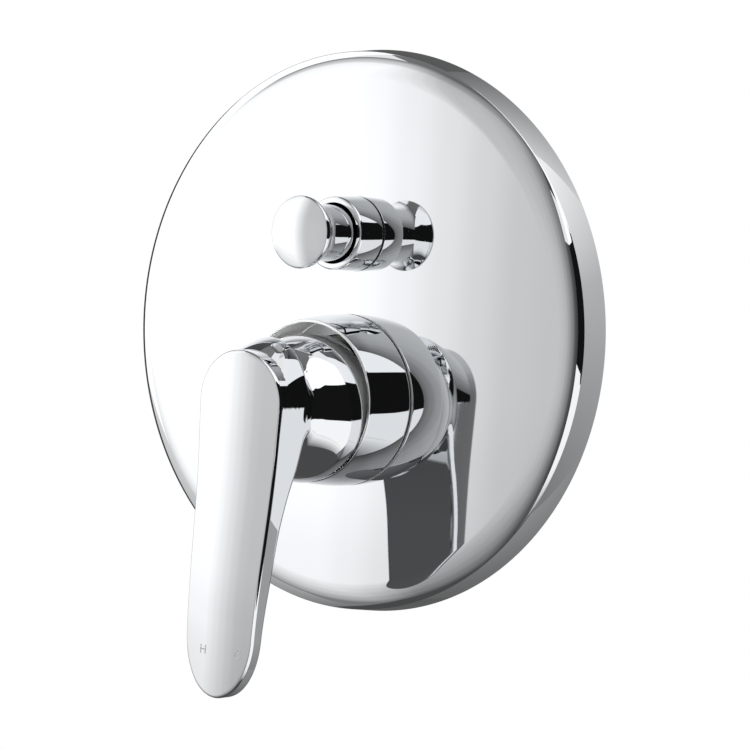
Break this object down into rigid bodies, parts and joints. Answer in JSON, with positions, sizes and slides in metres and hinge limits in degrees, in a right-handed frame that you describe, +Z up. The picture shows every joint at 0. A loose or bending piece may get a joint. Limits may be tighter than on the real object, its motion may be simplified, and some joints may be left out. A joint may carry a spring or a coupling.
{
  "type": "concealed bath shower mixer",
  "caption": "Round wall plate with a ball-hub lever and a pull knob, over a concealed brass valve body that mixes hot and cold water for bath or shower.",
  "frame": {"origin": "centre of the round wall plate, on the wall plane", "axes": "+Z up, the front faces -Y, +Y goes into the wall, +X to the right seen from the front"},
  "size_m": [0.17, 0.1186, 0.1922],
  "materials": {
    "chrome_plate": "polished",
    "cast_brass": "sand cast, matte",
    "turned_brass": "turned",
    "steel": "bright",
    "black_rubber": "matte",
    "foam": "closed-cell foam",
    "housing_plastic": "moulded",
    "slide_plastic": "moulded",
    "cap_plastic": "moulded",
    "ceramic_disc": "lapped"
  },
  "bodies": {
    "fixed_body": {"valve_body": "cast_brass", "escutcheon_plate": "chrome_plate", "wall_gasket": "foam", "lever_collar": "chrome_plate", "lever_opening_seal": "black_rubber", "cartridge_nut": "turned_brass", "cartridge_housing": "housing_plastic", "cartridge_base": "housing_plastic", "base_o_ring": "black_rubber", "base_port_seals": "black_rubber", "fixed_disc": "ceramic_disc", "diverter_bonnet": "turned_brass", "bonnet_o_ring": "black_rubber", "stem_o_ring": "black_rubber", "diverter_collar": "chrome_plate", "diverter_opening_seal": "black_rubber"},
    "cartridge_rotor": {"rotor": "slide_plastic", "pivot_pin": "steel"},
    "lever": {"lever_handle": "chrome_plate", "spindle": "turned_brass", "grub_screw": "steel", "screw_cap": "cap_plastic"},
    "disc_slide": {"disc_carrier": "slide_plastic", "moving_disc": "ceramic_disc"},
    "diverter_slide": {"diverter_knob": "chrome_plate", "diverter_stem": "turned_brass", "diverter_spool": "slide_plastic", "spool_o_rings": "black_rubber", "spool_clip": "steel"}
  },
  "joints": [
    {"name": "temperature_swivel", "type": "hinge", "parent": "fixed_body", "child": "cartridge_rotor", "pos_m": [0, -0.026, -0.0208], "axis": [0, 1, 0], "range_deg": [-45, 45]},
    {"name": "flow_lift", "type": "hinge", "parent": "cartridge_rotor", "child": "lever", "pos_m": [0, -0.026, -0.0208], "axis": [-1, 0, 0], "range_deg": [0, 20]},
    {"name": "disc_travel", "type": "slide", "parent": "cartridge_rotor", "child": "disc_slide", "axis": [0, 0, -1], "range_m": [0, 0.00558]},
    {"name": "diverter_pull", "type": "slide", "parent": "fixed_body", "child": "diverter_slide", "axis": [0, -1, 0], "range_m": [0, 0.012]}
  ],
  "couplings": [
    {"joint": "disc_travel", "follows": "flow_lift", "m_per_rad": 0.015919}
  ]
}
